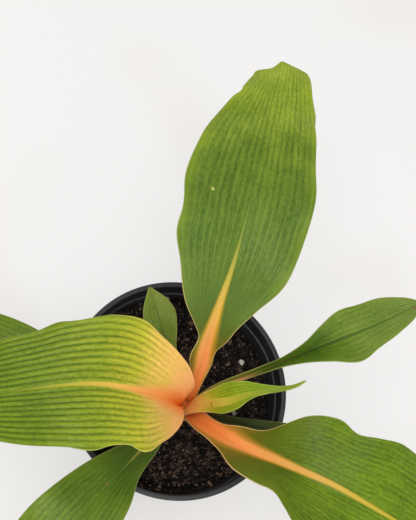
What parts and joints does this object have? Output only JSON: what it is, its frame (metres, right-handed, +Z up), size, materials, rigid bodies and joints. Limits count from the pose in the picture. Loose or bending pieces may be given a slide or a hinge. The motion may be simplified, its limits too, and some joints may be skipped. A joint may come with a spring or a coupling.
{
  "type": "potted chlorophytum",
  "caption": "Broad-leaved chlorophytum with orange midribs, arching from a short crown in dark soil in a round black nursery pot.",
  "frame": {"origin": "centre of the underside of the pot, on the surface that it stands on", "axes": "+Z up along the pot's axis, +X to the right and +Y to the back as the picture shows the plant"},
  "size_m": [0.2805, 0.2783, 0.1873],
  "materials": {
    "pot_plastic": "moulded black plastic with a soft sheen",
    "soil": "damp granular potting soil",
    "crown": "smooth peach-coloured plant tissue",
    "leaf_green": "satin green leaf with an orange midrib",
    "leaf_yellow_green": "satin yellow-green leaf with a peach base",
    "leaf_dark": "satin dark green leaf",
    "leaf_dull": "dull green leaf"
  },
  "bodies": {
    "root": {"pot": "pot_plastic", "soil": "soil", "crown": "crown", "leaf_back": "leaf_green", "leaf_left": "leaf_yellow_green", "leaf_front_right": "leaf_green", "leaf_front_left": "leaf_dark", "leaf_right": "leaf_green", "leaf_small": "leaf_dull", "leaf_young": "leaf_yellow_green", "leaf_old": "leaf_dark", "leaf_back_left": "leaf_green"}
  },
  "joints": []
}
